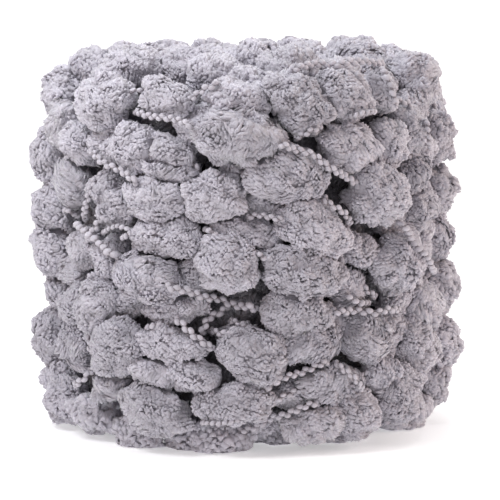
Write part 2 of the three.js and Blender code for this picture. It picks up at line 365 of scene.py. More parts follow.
@dataclass(frozen=True)
class Nest:
    """The drum with rounded corners on which the middles of the outer pompoms lie."""

    radius: float = 66.0
    foot: float = 6.8
    top: float = 128.0
    top_corner: float = 17.0
    foot_corner: float = 9.0
    dish_radius: float = 34.0
    dish_depth: float = 6.0
    steps: int = 240
    probe: float = 0.01
    tolerance: float = 0.01
    least_step: float = 0.2

    def distance(self, points: Array) -> Array:
        """Distance outside the nest, negative within.

        The drum is a rounded box turned about the axis: the distances past the inner cylinder and
        past its ends are joined as a right triangle's long side, less the corner's radius.
        """
        middle = (self.top + self.foot) / 2.0
        corner = np.where(points[..., 2] > middle, self.top_corner, self.foot_corner)
        across = np.hypot(points[..., 0], points[..., 1]) - (self.radius - corner)
        along = np.abs(points[..., 2] - middle) - ((self.top - self.foot) / 2.0 - corner)
        outside = np.hypot(np.maximum(across, 0.0), np.maximum(along, 0.0))
        return outside + np.minimum(np.maximum(across, along), 0.0) - corner

    def normal(self, points: Array) -> Array:
        """Unit vectors straight out of the nest, from the slope of the distance."""
        here = self.distance(points)
        slopes = [self.distance(points + self.probe * axis) - here for axis in np.eye(3)]
        return unit(np.stack(slopes, axis=-1))

    def dish(self, points: Array) -> Array:
        """How far the top is dished at some points: a smooth hollow about the axis."""
        share = np.minimum(np.hypot(points[..., 0], points[..., 1]) / self.dish_radius, 1.0)
        hollow = self.dish_depth * (1.0 - share * share) ** 2
        return np.where(points[..., 2] > self.top - self.top_corner, hollow, 0.0)

    def seats(self, eye: Eye, across: Array, up: Array) -> tuple[Array, Array, Array]:
        """Follows sight lines to the nest.

        Each line goes forward by its distance to the nest until it meets it. One that passes the
        outline stops where it came nearest.

        Args:
            eye: the viewpoint.
            across: where the lines cross the view plane, to the right of the axis.
            up: the same, above the aim.

        Returns:
            The places, the distances by which they miss the nest, and those from the eye.
        """
        sights, start = eye.sights(across, up), eye.place()
        away = np.full(len(across), eye.distance - 2.0 * self.radius)
        miss, best = np.full(len(across), np.inf), away.copy()
        going = np.ones(len(across), dtype=bool)
        while going.any():
            gap = self.distance(start + sights * away[:, None])
            nearer = going & (gap < miss)
            miss, best = np.where(nearer, gap, miss), np.where(nearer, away, best)
            away = np.where(going, away + np.maximum(gap, self.least_step), away)
            going &= (miss > self.tolerance) & (away < eye.distance + self.radius)
        return start + sights * best[:, None], miss, best

    def profile(self, share: Array) -> tuple[Array, Array]:
        """Radius and height along the drum's outline.

        The outline runs from the top's middle round the corner, down the wall, round the foot's
        corner and in to the foot's middle: straight, arc, straight, arc, straight.

        Args:
            share: shares of the outline's length.

        Returns:
            The radius and the height at each share.
        """
        flat, low_flat = self.radius - self.top_corner, self.radius - self.foot_corner
        bend, low_bend = math.pi / 2 * self.top_corner, math.pi / 2 * self.foot_corner
        wall = self.top - self.foot - self.top_corner - self.foot_corner
        run = share * (flat + bend + wall + low_bend + low_flat)
        turn = np.clip((run - flat) / self.top_corner, 0.0, math.pi / 2)
        low_turn = np.clip((run - flat - bend - wall) / self.foot_corner, 0.0, math.pi / 2)
        down = np.clip(run - flat - bend, 0.0, wall)
        inward = np.clip(run - flat - bend - wall - low_bend, 0.0, low_flat)
        radius = np.minimum(run, flat) + self.top_corner * np.sin(turn)
        radius -= self.foot_corner * (1.0 - np.cos(low_turn)) + inward
        height = self.top - self.top_corner * (1.0 - np.cos(turn)) - down
        return radius, height - self.foot_corner * np.sin(low_turn)

    def spread(self, shares: Array) -> tuple[Array, Array]:
        """Radius and height with given shares of the drum's area above them."""
        radius, height = self.profile(np.linspace(0.0, 1.0, self.steps + 1))
        bands = (radius[1:] + radius[:-1]) * np.hypot(np.diff(radius), np.diff(height))
        above = np.concatenate([[0.0], np.cumsum(bands)])
        above /= above[-1]
        return np.interp(shares, above, radius), np.interp(shares, above, height)


@dataclass
class Pompoms:
    """Pompoms as arrays: middles, unit axes along, beside and out, half sizes, and layer.

    The layer is 0 for the outer winding, 1 for the second and 2 for the deep one.
    """

    middle: Array
    axes: Array
    halves: Array
    layer: Array

    @classmethod
    def seated(
        cls, nest: Nest, seats: Array, sizes: Array, tilt: Array, lift: Array, layer: int
    ) -> "Pompoms":
        """Sets pompoms on the nest.

        The axis along the strand lies in the nest's surface, tilted from the level. The half depth
        is a share of the half thickness, but never less than a soft pompom's.

        Args:
            nest: the drum they sit on.
            seats: points of it, one row each.
            sizes: half length and half thickness, one row each.
            tilt: tilt of the strand in degrees.
            lift: how far each stands out of the nest.
            layer: the number of their winding.

        Returns:
            The pompoms.
        """
        out = nest.normal(seats)
        around = np.arctan2(seats[:, 0], -seats[:, 1])
        level = np.stack([np.cos(around), np.sin(around), np.zeros(len(seats))], axis=1)
        rise = unit(np.cross(out, level))
        lean = np.radians(tilt)[:, None]
        along = level * np.cos(lean) + rise * np.sin(lean)
        depth = np.maximum(DEPTH_SHARE * sizes[:, 1], LEAST_HALF_DEPTH)
        return cls(
            middle=seats + out * lift[:, None],
            axes=np.stack([along, np.cross(out, along), out], axis=1),
            halves=np.column_stack([sizes, depth]),
            layer=np.full(len(seats), layer),
        )

    def __len__(self) -> int:
        """How many pompoms there are."""
        return len(self.middle)

    def picked(self, which: Array) -> "Pompoms":
        """Some of the pompoms, by a mask or by indices."""
        return Pompoms(self.middle[which], self.axes[which], self.halves[which], self.layer[which])

    def joined(self, others: "Pompoms") -> "Pompoms":
        """These pompoms and others in one."""
        return Pompoms(
            np.concatenate([self.middle, others.middle]),
            np.concatenate([self.axes, others.axes]),
            np.concatenate([self.halves, others.halves]),
            np.concatenate([self.layer, others.layer]),
        )

    def plumped(self, growth: Triple, raised: float) -> "Pompoms":
        """The pompoms swollen until neighbours press on each other, as soft ones do.

        Args:
            growth: what each half size gains.
            raised: how far the second winding swells out between the outer pompoms.

        Returns:
            The plump pompoms.
        """
        second = (self.layer == 1)[:, None]
        middle = self.middle + raised * second * self.axes[:, 2]
        return Pompoms(middle, self.axes, self.halves + np.array(growth), self.layer)

    def hits(self, starts: Array, ways: Array, shrink: float = 1.0) -> tuple[Array, Array]:
        """Where rays enter and leave each pompom.

        A ray is put into the pompom's own axes and divided by its half sizes, which turns the
        pompom into a unit ball, and the ball's equation is solved for the two distances.

        Args:
            starts: ray starts, (rays, 3).
            ways: unit ray directions, (rays, 3).
            shrink: share of their size at which the pompoms are met.

        Returns:
            Distances to where each ray enters and leaves each pompom, (rays, pompoms), with
            infinity and minus infinity where it misses.
        """
        offset = starts[:, None, :] - self.middle[None]
        local = np.einsum("rpc,pac->rpa", offset, self.axes) / (self.halves * shrink)
        step = np.einsum("rc,pac->rpa", ways, self.axes) / (self.halves * shrink)
        a = np.sum(step * step, axis=2)
        b = np.sum(local * step, axis=2)
        c = np.sum(local * local, axis=2) - 1.0
        inside = b * b - a * c
        root = np.sqrt(np.maximum(inside, 0.0))
        met = inside > 0.0
        return np.where(met, (-b - root) / a, np.inf), np.where(met, (-b + root) / a, -np.inf)


@dataclass(frozen=True)
class Fill:
    """Plain pompoms that fill what the drawn front leaves free, or a deeper winding everywhere.

    Spacing is the least distance from any other pompom's middle.
    """

    spacing: float
    half_length: float
    half_thick: float
    lift: float
    layer: int
    everywhere: bool


@dataclass
class Winding:
    """Lays out every pompom of the ball, in the same way as the solid it replaces.

    Front pompoms further round than the front limit, in degrees, are not repeated on the far side.
    Past edge_on a front pompom is seen from its edge, and gets at least the hidden half thickness.
    """

    nest: Nest = field(default_factory=Nest)
    eye: Eye = field(default_factory=Eye)
    front_limit: float = 74.0
    edge_on: float = 62.0
    edge_on_half_thick: float = 8.5
    tries: int = 1500
    spread: float = 0.14
    lean: float = 55.0
    fills: tuple[Fill, ...] = (
        Fill(spacing=18.0, half_length=12.0, half_thick=9.0, lift=0.0, layer=0, everywhere=False),
        Fill(spacing=14.5, half_length=9.5, half_thick=7.5, lift=-1.0, layer=0, everywhere=False),
        Fill(spacing=12.5, half_length=10.5, half_thick=7.0, lift=-6.0, layer=1, everywhere=True),
        Fill(spacing=10.0, half_length=10.0, half_thick=7.5, lift=-14.5, layer=2, everywhere=True),
    )
    growth: Triple = (0.9, 0.9, 0.2)
    raised: float = 1.2

    def around(self, points: Array) -> Array:
        """Degrees round the axis from the front, either way."""
        return np.abs(np.degrees(np.arctan2(points[:, 0], -points[:, 1])))

    def front(self) -> Pompoms:
        """The drawn pompoms.

        Nearer ones show larger, so each is scaled by its distance. One that shows past the nest is
        rooted halfway back to it and is as much deeper, and one seen edge-on gets its hidden width.
        """
        table = np.array(FRONT_POMPOMS, dtype=float)
        places, miss, away = self.nest.seats(self.eye, table[:, 0], table[:, 1])
        root = np.where(miss > self.nest.tolerance, miss / 2.0, 0.0)
        sizes = table[:, 2:4] * (away / self.eye.distance)[:, None]
        made = Pompoms.seated(self.nest, places, sizes, table[:, 4], table[:, 5] - root, 0)
        made.halves[:, 2] += root
        hidden = self.around(places) > self.edge_on
        made.halves[hidden, 1] = np.maximum(made.halves[hidden, 1], self.edge_on_half_thick)
        return made

    def far(self, front: Pompoms) -> Pompoms:
        """The front's wall pompoms again on the far side, turned half round about the level X axis."""
        nest, height = self.nest, front.middle[:, 2]
        wall = (height < nest.top - nest.top_corner) & (height > nest.foot + nest.top_corner)
        chosen = front.picked(wall & (self.around(front.middle) < self.front_limit))
        turn = np.array([1.0, -1.0, -1.0])
        chosen.middle = chosen.middle * turn + [0.0, 0.0, nest.top + nest.foot]
        chosen.axes = chosen.axes * turn
        return chosen

    def foot(self) -> Pompoms:
        """The pompom in the middle of the foot."""
        plain = self.fills[0]
        sizes = np.array([[plain.half_length, plain.half_thick]])
        seat = np.array([[0.0, 0.0, self.nest.foot]])
        return Pompoms.seated(self.nest, seat, sizes, np.zeros(1), np.zeros(1), 0)

    def filled(self, placed: Pompoms, fill: Fill) -> Pompoms:
        """Plain pompoms on a spiral from the top's middle to the foot's, wherever there is room.

        Args:
            placed: the pompoms that are there already.
            fill: the size, spacing and layer of the new ones.

        Returns:
            The new pompoms.
        """
        nest, k = self.nest, np.arange(self.tries)
        radius, height = nest.spread((k + 0.5) / self.tries)
        turn = 2.0 * math.pi * ((k * GOLDEN) % 1.0)
        seats = np.column_stack([radius * np.sin(turn), -radius * np.cos(turn), height])
        drawn = (radius > nest.radius - nest.top_corner) & (self.around(seats) < self.front_limit)
        grow = 1.0 + self.spread * (2.0 * uneven(k, 1) - 1.0)
        sizes = np.outer(grow, [fill.half_length, fill.half_thick])
        lean = self.lean * (2.0 * uneven(k, 2) - 1.0)
        made = Pompoms.seated(nest, seats, sizes, lean, fill.lift - nest.dish(seats), fill.layer)
        taken, kept = placed.middle, []
        for index in np.flatnonzero(fill.everywhere | ~drawn):
            place = made.middle[index]
            if np.linalg.norm(taken - place, axis=1).min() >= fill.spacing:
                kept.append(index)
                taken = np.vstack([taken, place])
        return made.picked(np.array(kept, dtype=int))

    def pompoms(self) -> Pompoms:
        """All pompoms, the drawn front first, parted at the hollows and plumped."""
        made = self.front()
        made = made.joined(self.far(made)).joined(self.foot())
        for fill in self.fills:
            made = made.joined(self.filled(made, fill))
        return self.parted(made).plumped(self.growth, self.raised)

    def parted(self, pompoms: Pompoms) -> Pompoms:
        """Leaves out second pompoms in the hollows, so that the dark inside shows there.

        One goes if its middle comes nearer to a hollow's sight line than the hollow's radius.

        Args:
            pompoms: all pompoms.

        Returns:
            Those that stay.
        """
        table = np.array(HOLLOWS)
        sights, start = self.eye.sights(table[:, 0], table[:, 1]), self.eye.place()
        offset = pompoms.middle[:, None] - start
        along = np.sum(offset * sights[None], axis=2, keepdims=True)
        aside = np.linalg.norm(offset - along * sights[None], axis=2)
        facing = pompoms.middle[:, 1] < 0.0
        hollow = (aside < table[None, :, 2]).any(axis=1) & facing & (pompoms.layer == 1)
        return pompoms.picked(~hollow)


@dataclass
class MeshParts:
    """Vertices, faces and named values of a piece, gathered before it becomes a mesh."""

    vertices: Array
    faces: Array
    values: dict[str, Array]

    @classmethod
    def stacked(cls, parts: list["MeshParts"]) -> "MeshParts":
        """Several parts as one, each one's faces counted on from the last one's vertices."""
        starts = np.cumsum([0] + [len(part.vertices) for part in parts[:-1]])
        return cls(
            np.concatenate([part.vertices for part in parts]),
            np.concatenate([part.faces + start for part, start in zip(parts, starts)]),
            {key: np.concatenate([part.values[key] for part in parts]) for key in parts[0].values},
        )

    def pressed(self, soft: float = 1.5) -> Array:
        """Vertices pressed flat on the ground, with a height that fades away below the soft depth."""
        height = self.vertices[:, 2]
        flat = soft * np.exp(np.minimum(height - soft, 0.0) / soft)
        return np.column_stack([self.vertices[:, :2], np.where(height < soft, flat, height)])

    def piece(self, name: str, material: bpy.types.Material) -> bpy.types.Object:
        """Makes the piece, dresses it and ties it to the ball's body.

        Args:
            name: the piece's name.
            material: its finish.

        Returns:
            The object, at the origin, with its vertices in metres.
        """
        mesh = bpy.data.meshes.new(name)
        count, corners = self.faces.shape
        mesh.vertices.add(len(self.vertices))
        mesh.vertices.foreach_set("co", (self.pressed() * MM).astype(np.float32).ravel())
        mesh.loops.add(count * corners)
        mesh.loops.foreach_set("vertex_index", self.faces.astype(np.int32).ravel())
        mesh.polygons.add(count)
        mesh.polygons.foreach_set("loop_start", np.arange(0, count * corners, corners, dtype=np.int32))
        mesh.polygons.foreach_set("loop_total", np.full(count, corners, dtype=np.int32))
        mesh.polygons.foreach_set("use_smooth", np.ones(count, dtype=bool))
        mesh.update(calc_edges=True)
        for key, value in self.values.items():
            layer = mesh.attributes.new(key, "FLOAT", "POINT")
            layer.data.foreach_set("value", value.astype(np.float32))
        mesh.materials.append(material)
        made = bpy.data.objects.new(name, mesh)
        bpy.context.collection.objects.link(made)
        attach(made, BODY)
        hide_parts(NODE)
        log.info("%s: %d triangles", name, count * (corners - 2))
        return made


@dataclass(frozen=True)
class PileFinish:
    """Cut pile: painted shade, dark at its roots and pale at its tips, with fine fibre grain and soft sheen.

    The grain is in waves to a metre and the relief in metres. The speckles are the least and the
    most by which the grain scales the colour, between the two values of its noise.
    """

    name: str = "pompom_pile"
    # Painted shade: the root colour darkens each tuft towards the skin, and the tip colour is the pale yarn.
    root: Triple = (0.482, 0.459, 0.506)
    tip: Triple = (0.538, 0.521, 0.581)
    root_level: float = 0.30
    tip_level: float = 0.95
    grain: float = 1500.0
    noise_range: tuple[float, float] = (0.3, 0.7)
    speckles: tuple[float, float] = (0.93, 1.06)
    relief: float = 0.0003
    bump: float = 0.25
    roughness: float = 0.92
    specular: float = 0.2
    sheen: float = 0.5
    sheen_roughness: float = 0.45

    def material(self) -> bpy.types.Material:
        """Builds the shader.

        The colour goes from root to tip by the tufts' own level, a painted shade that darkens the pile
        towards its roots; it is scaled by each tuft's tone, painted darker on the deep pompoms, and a fine
        noise in Object coordinates breaks it up and roughens the surface.
        """
        material = bpy.data.materials.new(self.name)
        material.use_nodes = True
        nodes, links = material.node_tree.nodes, material.node_tree.links
        shader = nodes["Principled BSDF"]
        shader.inputs["Roughness"].default_value = self.roughness
        shader.inputs["Specular IOR Level"].default_value = self.specular
        shader.inputs["Sheen Weight"].default_value = self.sheen
        shader.inputs["Sheen Roughness"].default_value = self.sheen_roughness
        level = nodes.new("ShaderNodeAttribute")
        level.attribute_name = "level"
        tone = nodes.new("ShaderNodeAttribute")
        tone.attribute_name = "tone"
        place = nodes.new("ShaderNodeTexCoord")
        noise = nodes.new("ShaderNodeTexNoise")
        noise.inputs["Scale"].default_value = self.grain
        noise.inputs["Detail"].default_value = 2.0
        ramp = nodes.new("ShaderNodeValToRGB")
        ramp.color_ramp.elements[0].position = self.root_level
        ramp.color_ramp.elements[0].color = (*self.root, 1.0)
        ramp.color_ramp.elements[1].position = self.tip_level
        ramp.color_ramp.elements[1].color = (*self.tip, 1.0)
        speck = nodes.new("ShaderNodeMapRange")
        speck.inputs["From Min"].default_value = self.noise_range[0]
        speck.inputs["From Max"].default_value = self.noise_range[1]
        speck.inputs["To Min"].default_value = self.speckles[0]
        speck.inputs["To Max"].default_value = self.speckles[1]
        shade = nodes.new("ShaderNodeMath")
        shade.operation = "MULTIPLY"
        scaled = nodes.new("ShaderNodeVectorMath")
        scaled.operation = "SCALE"
        bump = nodes.new("ShaderNodeBump")
        bump.inputs["Strength"].default_value = self.bump
        bump.inputs["Distance"].default_value = self.relief
        links.new(place.outputs["Object"], noise.inputs["Vector"])
        links.new(level.outputs["Fac"], ramp.inputs["Fac"])
        links.new(noise.outputs["Fac"], speck.inputs["Value"])
        links.new(speck.outputs["Result"], shade.inputs[0])
        links.new(tone.outputs["Fac"], shade.inputs[1])
        links.new(ramp.outputs["Color"], scaled.inputs[0])
        links.new(shade.outputs["Value"], scaled.inputs["Scale"])
        links.new(scaled.outputs["Vector"], shader.inputs["Base Color"])
        links.new(noise.outputs["Fac"], bump.inputs["Height"])
        links.new(bump.outputs["Normal"], shader.inputs["Normal"])
        return material


@dataclass(frozen=True)
class Ball:
    """A unit ball on a grid of two angles, the form of the pompoms' hearts and the strand's bulges."""

    columns: int
    rings: int

    def points(self) -> Array:
        """Rows of points about the X axis, and its two poles last."""
        lean = math.pi * np.arange(1, self.rings) / self.rings
        turn = 2.0 * math.pi * np.arange(self.columns) / self.columns
        rows = [
            np.repeat(np.cos(lean), self.columns),
            np.outer(np.sin(lean), np.cos(turn)).ravel(),
            np.outer(np.sin(lean), np.sin(turn)).ravel(),
        ]
        return np.concatenate([np.stack(rows, axis=1), [[1.0, 0.0, 0.0], [-1.0, 0.0, 0.0]]])

    def faces(self) -> Array:
        """Its triangles."""
        return closed_faces(self.rings - 1, self.columns)


@dataclass
class Pile:
    """The cut pile of the pompoms: thousands of short blunt tufts, and the dense hearts under them.

    Sizes are in millimetres. A tuft's width is a share of the distance between tufts, which grows
    from the front round to the back between the two spacing turns, in degrees.
    """

    pompoms: Pompoms
    nest: Nest
    eye: Eye
    finish: PileFinish = field(default_factory=PileFinish)
    heart_finish: PileFinish = field(
        default_factory=lambda: PileFinish(name="pompom_heart", grain=650.0, relief=0.0012)
    )
    heart_ball: Ball = Ball(columns=12, rings=8)
    heart_depth: float = 1.35
    # Painted shade: the hearts take one level of the pile's root-to-tip shade, darker than the tips.
    heart_shade_level: float = 0.7
    sectors: int = 8
    seed: int = 7

    spacing: float = 1.19
    far_spacing: float = 1.9
    spacing_turns: tuple[float, float] = (65.0, 120.0)
    low_row: float = 9.0
    sight: float = 36.0

    broad_wave: float = 14.0
    broad_height: float = 0.7
    finer_wave: float = 6.5
    finer_height: float = 0.4
    most_rise: float = 1.3

    sides: int = 3
    width: float = 0.86
    width_spread: float = 0.2
    length_spread: float = 0.35
    swell_wave: float = 7.0
    swell: float = 0.6
    foot_share: float = 0.9
    shoulder_shade_level: float = 0.8
    tone_spread: float = 0.035
    tone_swell: float = 0.05

    wild: float = 0.14
    wild_turn: float = 0.25
    wild_length: float = 0.45
    wild_thinning: float = 0.4

    outer_tones: tuple[float, float] = (0.92, 1.08)
    # Painted shade: pompoms of the deep winding are coloured darker, for the shade of the outer ones.
    deep_shaded_tones: tuple[float, float] = (0.25, 0.62)

    def shade(self, index: int) -> float:
        """How bright a pompom's pile is: about the same outside, and darker and less even deep inside as
        painted shade.
        """
        dice = np.random.default_rng(self.seed * 3000 + index)
        deep = self.pompoms.layer[index] > 1
        return float(dice.uniform(*(self.deep_shaded_tones if deep else self.outer_tones)))

    def openings(self) -> Array:
        """Unit rows of directions about straight out: the middle one and three rings round it."""
        ways = []
        for lean, count in OPENING_RINGS:
            turn = 2.0 * math.pi * (np.arange(count) + lean / 90.0) / count
            out, aside = math.cos(math.radians(lean)), math.sin(math.radians(lean))
            ways += [(aside * math.cos(t), aside * math.sin(t), out) for t in turn]
        return np.array(ways)

    def spaced(self, index: int) -> float:
        """Distance between the tufts of a pompom: close at the front, growing round to the back."""
        middle = self.pompoms.middle[index]
        if middle[2] < self.low_row:
            return self.far_spacing
        turn = abs(math.degrees(math.atan2(middle[0], -middle[1])))
        return float(np.interp(turn, self.spacing_turns, (self.spacing, self.far_spacing)))

    def roots(self, index: int, dice: np.random.Generator) -> tuple[Array, Array]:
        """Where tufts stand on one pompom.

        Points go round the pompom's length in golden steps. Along it they are spaced so that each
        has the same share of the skin: the area up to a place is worked out, and turned round.

        Args:
            index: the pompom.
            dice: the source of unevenness.

        Returns:
            Points of the skin and its unit normals, both in the ball's frame.
        """
        halves = self.pompoms.halves[index]
        long, thick = halves[0], (halves[1] + halves[2]) / 2.0
        along = np.sin(np.linspace(-math.pi / 2, math.pi / 2, 65))
        band = np.sqrt(long**2 * (1.0 - along**2) + thick**2 * along**2)
        share = np.concatenate([[0.0], np.cumsum((band[1:] + band[:-1]) / 2 * np.diff(along))])
        spacing = self.spaced(index)
        count = int(2.0 * math.pi * thick * share[-1] / (0.866 * spacing**2))
        k = np.arange(count) + 0.5 + dice.uniform(-0.5, 0.5, count) * 0.9
        place = np.interp(np.clip(k / count, 0.0, 1.0) * share[-1], share, along)
        turn = 2.0 * math.pi * (np.arange(count) * GOLDEN + dice.uniform())
        turn = turn + dice.normal(0.0, 0.25, count) * (spacing / thick)
        ring = np.sqrt(np.maximum(1.0 - place**2, 0.0))
        ball = np.column_stack([place, ring * np.cos(turn), ring * np.sin(turn)])
        axes = self.pompoms.axes[index]
        return self.pompoms.middle[index] + (ball * halves) @ axes, unit((ball / halves) @ axes)

    def bulged(self, index: int, points: Array, normals: Array, finer_height: float) -> Array:
        """Moves a pompom's skin in and out by broad and by finer waves, so that it is no even oval.

        Args:
            index: the pompom.
            points: points of its skin.
            normals: the skin's unit normals there.
            finer_height: height of the finer waves.

        Returns:
            The moved points.
        """
        local = points + WAVE_SHIFT * index
        broad = waves(local, self.broad_wave, self.seed + 2, 1)
        finer = waves(local, self.finer_wave, self.seed + 3, 1)
        rise = np.clip(broad, -1.5, 1.5) * self.broad_height + np.clip(finer, -1.2, 2.0) * finer_height
        return points + normals * np.minimum(rise, self.most_rise)

    def open_to_view(self, index: int, points: Array, normals: Array) -> Array:
        """Which points of a pompom's skin can be seen from outside the ball.

        Rays leave each point towards the photograph's eye and in the directions of openings(),
        turned to the nest's outward way. A point is open if one of them faces its skin and misses
        every other pompom.

        Args:
            index: the pompom.
            points: points of its skin.
            normals: the skin's unit normals there.

        Returns:
            A mask.
        """
        outward = self.nest.normal(self.pompoms.middle[index][None])[0]
        near = np.linalg.norm(self.pompoms.middle - self.pompoms.middle[index], axis=1) < self.sight
        near[index] = False
        around = self.pompoms.picked(near)
        side = unit(np.cross(outward, [0.0, 0.3, 1.0]))
        basis = np.stack([side, np.cross(outward, side), outward])
        starts = points + normals * 0.3
        ways = [unit(self.eye.place() - starts)]
        ways += [np.repeat(way[None], len(points), axis=0) for way in self.openings() @ basis]
        seen = np.zeros(len(points), dtype=bool)
        for way in ways:
            facing = np.sum(normals * way, axis=1) > 0.05
            asked = np.flatnonzero(~seen & facing & (way @ outward > 0.0))
            if len(asked):
                _, leaving = around.hits(starts[asked], way[asked], 0.97)
                seen[asked] = leaving.max(axis=1) <= 0.0
        return seen

    def combed(self, combing: Combing, local: Array, normals: Array, dice: np.random.Generator) -> Array:
        """Ways in which tufts stand: on the skin's normal, leant together in clumps.

        The lean is a smooth wave over the pompom, with one bias for all of it and a little for each
        tuft, laid into the skin.

        Args:
            combing: how the pile lies.
            local: the tufts' places in the field of waves.
            normals: the skin's unit normals there.
            dice: the source of unevenness.

        Returns:
            Unit vectors.
        """
        clump = waves(local, combing.clump, self.seed, 3) + dice.normal(0.0, 0.7, 3)
        clump += dice.normal(0.0, 0.3, (len(local), 3))
        clump -= normals * np.sum(clump * normals, axis=1, keepdims=True)
        return unit(normals + combing.lean * clump)

    def locks(self, root: Array, shoulder: Array, tip: Array, ring: Array, tone: Array) -> MeshParts:
        """Meshes tufts as locks: a ring at the root, one at the shoulder and a blunt point.

        Args:
            root: middles of the rings at the root.
            shoulder: middles of the rings at the shoulder.
            tip: the points.
            ring: corners of each ring about its middle, (count, sides, 3).
            tone: brightness of each tuft, painted darker on the deep pompoms as shade.

        Returns:
            The locks, with their level from root to tip, which the finish turns into painted shade, and their
            tone.
        """
        count, sides = len(root), self.sides
        base = root[:, None] + ring * self.foot_share
        vertices = np.concatenate([base, shoulder[:, None] + ring, tip[:, None]], axis=1)
        side = np.arange(sides)
        after = (side + 1) % sides
        walls = np.stack([side, after, sides + after, side, sides + after, sides + side], axis=1)
        caps = np.stack([sides + side, sides + after, np.full(sides, 2 * sides)], axis=1)
        each = 2 * sides + 1
        faces = np.concatenate([walls.reshape(-1, 3), caps])[None] + (np.arange(count) * each)[:, None, None]
        # Painted shade: the level goes from 0 at the root to 1 at the tip, and the finish darkens the root
        # end.
        level = np.repeat([0.0, self.shoulder_shade_level, 1.0], [sides, sides, 1])
        values = {"level": np.tile(level, count), "tone": np.repeat(tone, each)}
        return MeshParts(vertices.reshape(-1, 3), faces.reshape(-1, 3), values)

    def tufts(self, index: int) -> MeshParts:
        """The tufts of one pompom.

        They are combed in one of the ways of lying, longer and shorter by a smooth wave and by
        chance. A few wild ones stand out, thinner, longer and turned aside.

        Args:
            index: the pompom.

        Returns:
            Its tufts, with their level from root to tip, which the finish turns into painted shade, and their
            tone.
        """
        dice = np.random.default_rng(self.seed * 1000 + index)
        combing = COMBINGS[int(dice.integers(len(COMBINGS)))]
        points, normals = self.roots(index, dice)
        seen = self.open_to_view(index, points, normals)
        points, normals = points[seen], normals[seen]
        count = len(points)
        local = points + WAVE_SHIFT * index
        points = self.bulged(index, points, normals, self.finer_height)
        way = self.combed(combing, local, normals, dice)
        swell = waves(local, self.swell_wave, self.seed + 1, 1)[:, 0]
        spread = self.length_spread
        length = combing.length + self.swell * swell + dice.uniform(-spread, spread, count)
        spread = self.width_spread
        width = self.width * self.spaced(index) * (1.0 + dice.uniform(-spread, spread, count))
        wild = dice.random(count) < self.wild
        way = unit(way + self.wild_turn * wild[:, None] * dice.normal(size=(count, 3)))
        length = length + self.wild_length * wild
        width = width * (1.0 - self.wild_thinning * wild)
        aside = unit(np.cross(normals, dice.normal(size=(count, 3))))
        beside = np.cross(normals, aside)
        turn = 2.0 * math.pi * np.arange(self.sides) / self.sides
        ring = aside[:, None] * np.cos(turn)[:, None] + beside[:, None] * np.sin(turn)[:, None]
        ring = ring * width[:, None, None]
        root = points - way * combing.length
        shoulder = root + way * (length * combing.shoulder)[:, None]
        # The tone carries shade(), painted shade on the deep pompoms, times a random and wavy tone for each
        # tuft.
        tone = 1.0 + self.tone_spread * dice.normal(size=count) + self.tone_swell * swell
        return self.locks(root, shoulder, root + way * length[:, None], ring, self.shade(index) * tone)

    def hearts(self, which: Array) -> MeshParts:
        """The dense hearts of some pompoms: balls stretched to their size, a little below the skin.

        Args:
            which: the pompoms.

        Returns:
            The hearts.
        """
        ball, faces = self.heart_ball.points(), self.heart_ball.faces()
        level = np.full(len(ball), self.heart_shade_level)
        parts = []
        for index in which:
            halves, axes = self.pompoms.halves[index], self.pompoms.axes[index]
            points = (ball * halves) @ axes + self.pompoms.middle[index]
            normals = unit((ball / halves) @ axes)
            points = self.bulged(index, points, normals, 0.0) - normals * self.heart_depth
            values = {"level": level, "tone": np.full(len(ball), self.shade(index))}
            parts.append(MeshParts(points, faces, values))
        return MeshParts.stacked(parts)

    def build(self) -> list[bpy.types.Object]:
        """Makes the pile in equal sectors round the axis, a piece of tufts and one of hearts in each."""
        pile, heart = self.finish.material(), self.heart_finish.material()
        around = np.arctan2(self.pompoms.middle[:, 0], -self.pompoms.middle[:, 1])
        half = math.pi / self.sectors
        sector = np.floor(((around + half) % (2.0 * math.pi)) / (2.0 * half)).astype(int) % self.sectors
        made = []
        for number in range(self.sectors):
            which = np.flatnonzero(sector == number)
            tufts = MeshParts.stacked([self.tufts(index) for index in which])
            made.append(tufts.piece(f"pompom_pile_{number + 1}", pile))
            made.append(self.hearts(which).piece(f"pompom_hearts_{number + 1}", heart))
        return made


class Beading(Enum):
    """How the bulges of the twist sit, in millimetres and degrees.

    The five numbers are the way from bulge to bulge, how far each stands aside of the middle line,
    to the left and the right in turn, the slant of its long axis, its half width and how many times
    longer than wide it is.
    """

    ROW = (1.93, 0.08, -34.0, 0.93, 1.36)
    STAGGERED = (1.62, 0.50, 8.0, 0.96, 1.36)

    @property
    def pitch(self) -> float:
        """Way from bulge to bulge."""
        return self.value[0]

    @property
    def aside(self) -> float:
        """How far each bulge stands aside."""
        return self.value[1]

    @property
    def slant(self) -> float:
        """Slant of the long axis in radians."""
        return math.radians(self.value[2])

    @property
    def half_width(self) -> float:
        """Half width of a bulge."""
        return self.value[3]

    @property
    def stretch(self) -> float:
        """Length of a bulge over its width."""
        return self.value[4]


@dataclass(frozen=True)
class Stretch:
    """A stretch of core strand in the plane through the ball's axis, as seen from the eye.

    The corners are (across, up) in millimetres. The sink is how far behind the drawn-tight line it
    lies, for one that shows in a hollow.
    """

    corners: tuple[tuple[float, float], ...]
    beading: Beading = Beading.STAGGERED
    thickness: float = 1.0
    sink: float = 0.0


